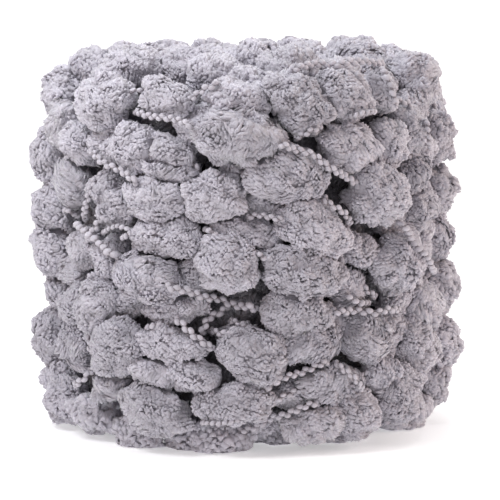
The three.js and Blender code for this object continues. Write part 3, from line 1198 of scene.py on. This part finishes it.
FRONT_STRETCHES = (
    Stretch(((-40.0, 49.7), (-29.5, 47.5), (-17.6, 45.0)), thickness=0.97),
    Stretch(((-21.2, 54.0), (-15.0, 57.5), (-8.6, 61.2)), thickness=0.95),
    Stretch(((-56.9, 36.0), (-47.5, 29.5), (-38.2, 24.1))),
    Stretch(((-61.9, 10.1), (-53.0, 2.5), (-45.4, -2.9)), Beading.ROW, 1.33, 1.5),
    Stretch(((-49.7, 30.6), (-56.9, 21.6), (-58.0, 10.1)), thickness=0.85, sink=2.5),
    Stretch(((-51.5, 6.5), (-46.1, 8.6), (-41.0, 7.2), (-44.6, 3.6)), Beading.ROW, 0.9, 1.5),
    Stretch(((-29.2, -12.6), (-16.6, -16.2), (4.3, -21.6)), thickness=1.1),
    Stretch(((30.2, -21.6), (42.0, -22.4), (55.4, -21.6)), thickness=1.05),
    Stretch(((33.8, -14.4), (38.2, -18.0), (44.6, -19.1)), Beading.ROW, 1.1),
    Stretch(((54.7, 10.8), (62.0, 1.5), (68.4, -7.9)), Beading.ROW, 1.2, 1.5),
    Stretch(((49.3, 65.5), (54.7, 52.2)), Beading.ROW, 1.15),
    Stretch(((15.8, 65.6), (33.0, 67.4), (50.0, 67.8)), sink=0.8),
    Stretch(((16.9, 39.6), (27.4, 45.0)), thickness=0.9),
    Stretch(((10.4, 37.8), (21.2, 36.0), (40.3, 23.4)), thickness=0.95),
    Stretch(((27.7, 19.8), (35.6, 12.6), (38.2, 9.0)), thickness=0.95),
    Stretch(((32.0, -39.6), (42.8, -50.4)), thickness=0.85),
    Stretch(((5.8, -49.7), (21.2, -43.2), (30.2, -40.3)), thickness=0.95),
    Stretch(((-2.2, -65.5), (15.8, -58.3), (26.6, -54.7)), thickness=0.95),
    Stretch(((-16.6, -62.6), (-0.4, -61.2)), Beading.ROW, sink=1.5),
    Stretch(((-36.4, -28.8), (-27.4, -25.2)), Beading.ROW),
    Stretch(((-26.0, -24.0), (-20.0, -29.5), (-11.9, -36.0)), thickness=1.05),
    Stretch(((-16.6, -29.5), (-12.5, -24.5), (-6.5, -19.5)), thickness=1.05),
    Stretch(((50.0, -27.0), (52.6, -29.5)), Beading.ROW),
    Stretch(((-14.8, 7.9), (-9.4, 5.4)), Beading.ROW),
    Stretch(((-0.4, 12.6), (14.0, 11.5)), thickness=0.85),
    Stretch(((3.2, 0.0), (7.9, -4.3)), Beading.ROW),
    Stretch(((64.4, 46.8), (67.0, 36.0)), Beading.ROW),
    Stretch(((-61.6, -48.6), (-55.4, -43.2)), sink=4.0),
    Stretch(((-65.2, 14.4), (-59.8, 12.6)), Beading.ROW),
    Stretch(((30.2, -64.8), (35.6, -59.4)), Beading.ROW),
    Stretch(((36.7, 48.6), (47.5, 49.7)), Beading.ROW, 0.9),
    Stretch(((41.0, -10.5), (46.5, -17.5)), thickness=0.9, sink=4.0),
    Stretch(((-13.5, -28.0), (-8.0, -31.0), (1.0, -26.0)), thickness=0.95, sink=4.5),
    Stretch(((-6.5, -24.5), (1.5, -28.5)), thickness=0.95, sink=5.5),
    Stretch(((-27.0, 55.5), (-18.0, 50.5)), thickness=0.95, sink=4.0),
    Stretch(((-58.0, 3.5), (-50.5, 12.5)), thickness=0.95, sink=5.0),
)


@dataclass
class CoreStrand:
    """The twisted core strand, where it shows between the pompoms and across them.

    Sizes are in millimetres. The strand lies on loose pile of the fluff's depth. It is drawn tight
    over hollows within the span to either side, falls away from the eye by no more than the slope
    for each millimetre along it, and dives into the pile over the last stretch of the dive.
    """

    pompoms: Pompoms
    winding: Winding
    step: float = 0.5
    waver: float = 0.45
    fluff: float = 1.2
    deepest: float = 5.0
    span: float = 2.5
    slope: float = 1.0
    ease: float = 2.0
    dive: float = 3.5
    dive_length: float = 3.0

    least_join: float = 3.0
    most_join: float = 10.0
    join_room: float = 6.0
    tuck: float = 2.5
    slack: float = 0.45

    thread: float = 0.62
    thread_step: float = 1.5
    thread_shade_level: float = 0.35
    close: Ball = Ball(columns=8, rings=5)
    plain: Ball = Ball(columns=6, rings=4)
    # Painted shade: the strand's dark root colour goes on the thread and the bulges' inner sides, the pale
    # tip on their crests.
    finish: PileFinish = field(
        default_factory=lambda: PileFinish(
            name="core_strand", root=(0.20, 0.18, 0.20), tip=(0.565, 0.543, 0.600), grain=900.0, roughness=0.7
        )
    )

    def smoothed(self, values: Array, width: float) -> Array:
        """Values along a stretch, averaged under a bell of the given width in millimetres."""
        half = max(int(3.0 * width / self.step), 1)
        bell = np.exp(-0.5 * (np.arange(-half, half + 1) * self.step / width) ** 2)
        padded = np.pad(values, ((half, half),) + ((0, 0),) * (values.ndim - 1), mode="edge")
        columns = padded.reshape(len(padded), -1)
        eased = [np.convolve(column, bell / bell.sum(), mode="valid") for column in columns.T]
        return np.stack(eased, axis=1).reshape(values.shape)

    def fluffed(self) -> Pompoms:
        """The pompoms with the depth of loose pile on which the strand lies."""
        pompoms = self.pompoms
        return Pompoms(pompoms.middle, pompoms.axes, pompoms.halves + self.fluff, pompoms.layer)

    def drawn(self, stretch: Stretch, seed: int) -> tuple[Array, Array]:
        """A stretch's line in the view plane: its corners joined, eased and slightly wavering.

        Args:
            stretch: the stretch in the view plane.
            seed: seed of its waver.

        Returns:
            How far along the stretch its points lie, and the points (across, up).
        """
        table = np.array(stretch.corners)
        run = np.concatenate([[0.0], np.cumsum(np.linalg.norm(np.diff(table, axis=0), axis=1))])
        place = np.linspace(0.0, run[-1], max(int(run[-1] / self.step), 8))
        line = np.column_stack([np.interp(place, run, table[:, axis]) for axis in (0, 1)])
        dice = np.random.default_rng(400 + seed)
        phase = place[:, None] * 2.0 * math.pi / dice.uniform(11.0, 17.0, 2)
        return place, self.smoothed(line, 1.5) + self.waver * np.sin(phase + dice.uniform(0.0, 6.0, 2))

    def laid(self, stretch: Stretch, seed: int) -> Array:
        """Lays one stretch on the front as it is seen.

        Along the sight line of each point the nearest pompom is found. The strand is drawn tight
        over the hollows between, falls away no steeper than its slope, is eased, and its ends dive
        into the pile.

        Args:
            stretch: the stretch in the view plane.
            seed: seed of its waver.

        Returns:
            Points of its middle line.
        """
        place, line = self.drawn(stretch, seed)
        eye = self.winding.eye
        sights, start = eye.sights(line[:, 0], line[:, 1]), eye.place()
        entering, _ = self.fluffed().hits(np.repeat(start[None], len(line), axis=0), sights)
        _, _, nest = self.winding.nest.seats(eye, line[:, 0], line[:, 1])
        depth = np.minimum(entering.min(axis=1), nest + self.deepest)
        window = int(self.span / self.step)
        padded = np.pad(depth, window, mode="edge")
        tight = np.min(np.lib.stride_tricks.sliding_window_view(padded, 2 * window + 1), axis=1)
        apart = np.abs(place[:, None] - place[None])
        tight = np.min(tight[None] + self.slope * apart, axis=1)
        depth = self.smoothed(tight, self.ease) + stretch.sink
        ends = np.minimum(place, place[-1] - place)
        depth = depth + self.dive * np.clip(1.0 - ends / self.dive_length, 0.0, 1.0) ** 2
        return start + sights * depth[:, None]

    def joins(self, placed: list[Array]) -> list[Array]:
        """Stretches from pompom to pompom where no drawn one lies.

        The end of each outer pompom is joined to the nearest end of another, if that is near, by a
        slack cubic curve of four control points that rises a little between them.

        Args:
            placed: the stretches that are there already.

        Returns:
            The middle lines of the new stretches.
        """
        outer = self.pompoms.picked(self.pompoms.layer < 1)
        half = outer.axes[:, 0] * outer.halves[:, :1]
        ends = np.concatenate([outer.middle + half, outer.middle - half])
        owner = np.tile(np.arange(len(outer)), 2)
        ways = np.concatenate([outer.axes[:, 0], -outer.axes[:, 0]])
        outs = np.tile(outer.axes[:, 2], (2, 1))
        gaps = np.linalg.norm(ends[:, None] - ends[None], axis=2)
        gaps[owner[:, None] == owner[None]] = np.inf
        taken = np.zeros(len(ends), dtype=bool)
        drawn = np.concatenate(placed)
        made = []
        for index in np.argsort(gaps.min(axis=1)):
            other = int(np.argmin(np.where(taken, np.inf, gaps[index])))
            gap = gaps[index, other]
            if taken[index] or not self.least_join < gap < self.most_join:
                continue
            middle = (ends[index] + ends[other]) / 2.0
            if np.linalg.norm(drawn - middle, axis=1).min() < self.join_room:
                continue
            pair = [index, other]
            taken[pair] = True
            first, last = ends[pair] - self.tuck * ways[pair] + 0.5 * outs[pair]
            near = first + ways[index] * (self.slack * gap) + outs[index]
            far = last + ways[other] * (self.slack * gap) + outs[other]
            share = np.linspace(0.0, 1.0, max(int((gap + 2.0 * self.tuck) / self.step), 8))[:, None]
            back = 1.0 - share
            curve = back**3 * first + 3 * back**2 * share * near
            made.append(curve + 3 * back * share**2 * far + share**3 * last)
        return made

    def stepped(self, line: Array, step: float) -> Array:
        """A line's points set at even steps along it."""
        run = np.concatenate([[0.0], np.cumsum(np.linalg.norm(np.diff(line, axis=0), axis=1))])
        place = np.linspace(0.0, run[-1], max(int(run[-1] / step), 4))
        return np.column_stack([np.interp(place, run, line[:, axis]) for axis in range(3)])

    def bulges(self, line: Array, toward: Array | None, stretch: Stretch, form: Ball, seed: int) -> MeshParts:
        """The bulges of the twist along a middle line.

        Each is an oval, its long axis slanted off the line, and they stand to either side in turn
        where the twist shows as two rows.

        Args:
            line: points of the middle line.
            toward: the place from which the strand is seen, or None for the nest's outward way.
            stretch: gives the beading and the thickness.
            form: the ball that is stretched into each oval.
            seed: seed of their small unevenness.

        Returns:
            The ovals.
        """
        dice = np.random.default_rng(900 + seed)
        beading, size = stretch.beading, stretch.thickness
        middle = self.stepped(line, beading.pitch * size)
        count = len(middle)
        outward = self.winding.nest.normal(middle) if toward is None else unit(toward - middle)
        along = unit(np.gradient(middle, axis=0))
        side = unit(np.cross(along, outward))
        out = np.cross(side, along)
        turn = np.where(np.arange(count) % 2 == 0, 1.0, -1.0)
        slant = (beading.slant + dice.normal(0.0, 0.12, count))[:, None]
        long = along * np.cos(slant) + side * np.sin(slant)
        axes = np.stack([long, np.cross(out, long), out], axis=1)
        oval = np.array([beading.stretch, 1.0, 1.0])
        halves = size * beading.half_width * oval * dice.uniform(0.9, 1.1, (count, 1))
        middle = middle + side * (turn * beading.aside * size)[:, None]
        ball, faces = form.points(), form.faces()
        points = middle[:, None] + np.einsum("vk,nk,nkc->nvc", ball, halves, axes)
        # Painted shade: each bulge is dark on its inner side and pale on the crest that faces out, towards
        # the eye at the front.
        low = self.thread_shade_level
        level = low + (1.0 - low) * np.tile((1.0 + ball[:, 2]) / 2.0, count)
        tone = np.repeat(1.0 + dice.normal(0.0, 0.04, count), len(ball))
        every = (faces[None] + (np.arange(count) * len(ball))[:, None, None]).reshape(-1, 3)
        return MeshParts(points.reshape(-1, 3), every, {"level": level, "tone": tone})

    def inner_thread(self, line: Array, thickness: float) -> MeshParts:
        """The thread inside the bulges: a four-sided tube along the middle line, closed at its ends.

        Args:
            line: points of the middle line.
            thickness: the stretch's thickness.

        Returns:
            The tube.
        """
        middle = self.stepped(line, self.thread_step)
        along = unit(np.gradient(middle, axis=0))
        side = unit(np.cross(along, self.winding.nest.normal(middle)))
        out = np.cross(side, along)
        turn = 0.5 * math.pi * np.arange(4)
        ring = side[:, None] * np.cos(turn)[None, :, None] + out[:, None] * np.sin(turn)[None, :, None]
        points = (middle[:, None] + ring * self.thread * thickness).reshape(-1, 3)
        walls = ring_faces(len(middle), 4)[:, ::-1]
        end = len(points) - 4
        caps = np.array([[0, 2, 1], [0, 3, 2], [end, end + 1, end + 2], [end, end + 2, end + 3]])
        # Painted shade: the thread between the bulges takes a dark level of the strand's colour.
        values = {"level": np.full(len(points), self.thread_shade_level), "tone": np.ones(len(points))}
        return MeshParts(points, np.concatenate([walls, caps]), values)

    def build(self) -> list[bpy.types.Object]:
        """Makes the drawn front, its turned copy on the far side and the joins between pompoms.

        A stretch stands again on the far side if it lies on the wall, clear of the corners, turned
        half round about the level X axis as the pompoms are.
        """
        nest, eye = self.winding.nest, self.winding.eye.place()
        low, high = nest.foot + nest.top_corner, nest.top - nest.top_corner
        plain = Stretch(())
        front, far = [], []
        for number, stretch in enumerate(FRONT_STRETCHES):
            line = self.laid(stretch, number)
            front.append((line, stretch))
            if line[:, 2].min() > low and line[:, 2].max() < high:
                far.append((line * [1.0, -1.0, -1.0] + [0.0, 0.0, nest.top + nest.foot], stretch))
        joins = [(line, plain) for line in self.joins([line for line, _ in front + far])]
        material = self.finish.material()
        made = []
        for name, laid in (("front", front), ("far", far), ("joins", joins)):
            toward, form = (eye, self.close) if name == "front" else (None, self.plain)
            parts = [self.inner_thread(line, stretch.thickness) for line, stretch in laid]
            for number, (line, stretch) in enumerate(laid):
                parts.append(self.bulges(line, toward, stretch, form, number))
            made.append(MeshParts.stacked(parts).piece(f"core_strand_{name}", material))
        return made


@dataclass
class PackedCore:
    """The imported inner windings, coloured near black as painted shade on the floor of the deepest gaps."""

    nest: Nest
    inset: float = 19.0
    rows: int = 40
    columns: int = 96
    lump_wave: float = 9.0
    lump: float = 0.8
    seed: int = 31
    # Painted shade: the core is near black, for the shade deep down in the gaps.
    color: Triple = (0.055, 0.046, 0.06)

    def build(self) -> bpy.types.Object:
        """Makes the core: the nest's outline turned about the axis, moved in and lightly lumped."""
        radius, height = self.nest.spread((np.arange(self.rows) + 0.5) / self.rows)
        turn = 2.0 * math.pi * np.arange(self.columns) / self.columns
        across, depth = np.outer(radius, np.sin(turn)), np.outer(radius, -np.cos(turn))
        level = np.repeat(height[:, None], self.columns, axis=1)
        points = np.stack([across, depth, level], axis=-1).reshape(-1, 3)
        lumps = waves(points, self.lump_wave, self.seed, 1)
        points = points - self.nest.normal(points) * (self.inset + self.lump * lumps)
        poles = np.array([[0.0, 0.0, self.nest.top - self.inset], [0.0, 0.0, self.nest.foot + self.inset]])
        points = np.concatenate([points, poles])
        values = {"level": np.zeros(len(points)), "tone": np.ones(len(points))}
        parts = MeshParts(points, closed_faces(self.rows, self.columns), values)
        finish = PileFinish(name="packed_core", root=self.color, tip=self.color)
        return parts.piece("packed_core", finish.material())


@dataclass(frozen=True)
class Lamp:
    """A square area lamp: its place and width in metres, its power in watts and its colour."""

    name: str
    place: Triple
    size: float
    power: float
    color: Triple

    def build(self, target: Vector) -> bpy.types.Object:
        """Makes the lamp, aimed at the target."""
        data = bpy.data.lights.new(self.name, "AREA")
        data.energy = self.power
        data.color = self.color
        data.size = self.size
        made = bpy.data.objects.new(self.name, data)
        made.location = self.place
        made.rotation_euler = (target - Vector(self.place)).to_track_quat("-Z", "Y").to_euler()
        bpy.context.collection.objects.link(made)
        return made


@dataclass
class Studio:
    """A pale floor, soft light from the upper left and the photograph's viewpoint.

    The floor's sizes are in metres. It is level from the front edge to the back, rises there in a
    quarter circle and goes straight up. It glows a little, so that it shows as white paper.
    """

    eye: Eye
    half_width: float = 3.0
    front: float = -2.0
    dim_end: float = 0.2
    back: float = 1.6
    bend: float = 0.6
    top: float = 3.0
    steps: int = 13
    glows: tuple[float, float] = (0.34, 0.68)
    paper: Triple = (0.93, 0.93, 0.93)
    sky: Triple = (0.99, 0.945, 0.985)
    sky_strength: float = 0.29
    lamps: tuple[Lamp, ...] = (
        Lamp("key_light", (-0.19, -0.15, 0.30), 0.14, 0.61, (0.97, 0.98, 1.0)),
        Lamp("top_light", (0.05, 0.05, 0.60), 0.5, 1.8, (0.97, 0.99, 1.0)),
        Lamp("rim_light", (1.1, 0.1, 0.5), 0.8, 5.5, (1.0, 0.90, 0.82)),
        Lamp("fill_light", (0.0, -1.6, 0.5), 1.4, 0.9, (1.0, 0.93, 0.95)),
        Lamp("warm_bounce_left", (-0.6, -0.45, 0.06), 0.4, 0.34, (1.0, 0.47, 0.28)),
        Lamp("warm_bounce_right", (0.65, -0.25, 0.06), 0.4, 0.55, (1.0, 0.47, 0.27)),
    )

    def paper_finish(self) -> bpy.types.Material:
        """White paper that glows by its own attribute."""
        material = bpy.data.materials.new("studio_paper")
        material.use_nodes = True
        shader = material.node_tree.nodes["Principled BSDF"]
        shader.inputs["Base Color"].default_value = (*self.paper, 1.0)
        shader.inputs["Emission Color"].default_value = (1.0, 1.0, 1.0, 1.0)
        shader.inputs["Roughness"].default_value = 0.9
        lit = material.node_tree.nodes.new("ShaderNodeAttribute")
        lit.attribute_name = "glow"
        material.node_tree.links.new(lit.outputs["Fac"], shader.inputs["Emission Strength"])
        return material

    def floor(self) -> bpy.types.Object:
        """Makes the floor: one profile at either side, joined by level strips.

        The glow grows evenly from where the ball stands to the back.
        """
        turn = np.linspace(0.0, math.pi / 2, self.steps)
        rise = self.bend * (1.0 - np.cos(turn))
        depth = np.concatenate(
            [[self.front, self.dim_end], self.back + self.bend * np.sin(turn), [self.back + self.bend]]
        )
        height = np.concatenate([[0.0, 0.0], rise, [self.top]])
        left = np.column_stack([np.full(len(depth), -self.half_width), depth, height])
        points = np.concatenate([left, left * [-1.0, 1.0, 1.0]])
        row = np.arange(len(depth) - 1)
        faces = np.stack([row, row + len(depth), row + len(depth) + 1, row + 1], axis=1)
        mesh = bpy.data.meshes.new("studio_floor")
        mesh.from_pydata(points.tolist(), [], faces.tolist())
        mesh.polygons.foreach_set("use_smooth", np.ones(len(faces), dtype=bool))
        glow = np.interp(depth, [self.dim_end, self.back], self.glows)
        mesh.attributes.new("glow", "FLOAT", "POINT").data.foreach_set("value", np.tile(glow, 2))
        mesh.materials.append(self.paper_finish())
        made = bpy.data.objects.new("studio_floor", mesh)
        bpy.context.collection.objects.link(made)
        made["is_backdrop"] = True
        return made

    def camera(self) -> None:
        """Sets the camera at the photograph's place, as wide as its frame."""
        data = bpy.data.cameras.new("camera")
        data.sensor_width = 36.0
        data.lens = data.sensor_width * self.eye.distance / self.eye.view_width
        data.clip_start = 0.05
        made = bpy.data.objects.new("camera", data)
        place = (self.eye.place() + [self.eye.aim_across, 0.0, 0.0]) * MM
        made.location = Vector(place)
        made.rotation_euler = Vector(self.eye.forward()).to_track_quat("-Z", "Y").to_euler()
        bpy.context.collection.objects.link(made)
        bpy.context.scene.camera = made

    def build(self) -> None:
        """Sets up the floor, the lamps, the sky and the camera."""
        self.floor()
        for lamp in self.lamps:
            lamp.build(Vector((0.0, 0.0, self.eye.aim_height * MM)))
        world = bpy.data.worlds.new("studio_sky")
        world.use_nodes = True
        sky = world.node_tree.nodes["Background"]
        sky.inputs["Color"].default_value = (*self.sky, 1.0)
        sky.inputs["Strength"].default_value = self.sky_strength
        bpy.context.scene.world = world
        bpy.context.scene.view_settings.view_transform = "Standard"
        self.camera()


def box_of() -> list[list[float]]:
    """The whole object's lowest and highest corners as plain lists."""
    return [[float(value) for value in corner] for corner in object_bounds()]


def main(cad_box: list[list[float]]) -> None:
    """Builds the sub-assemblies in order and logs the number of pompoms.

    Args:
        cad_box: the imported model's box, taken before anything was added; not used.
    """
    logging.basicConfig(level=logging.INFO, format="%(name)s: %(message)s")
    winding = Winding()
    Studio(winding.eye).build()
    pompoms = winding.pompoms()
    log.info("%d pompoms in all windings", len(pompoms))
    Pile(pompoms, winding.nest, winding.eye).build()
    CoreStrand(pompoms, winding).build()
    PackedCore(winding.nest).build()


if __name__ == "__main__":
    main(box_of())
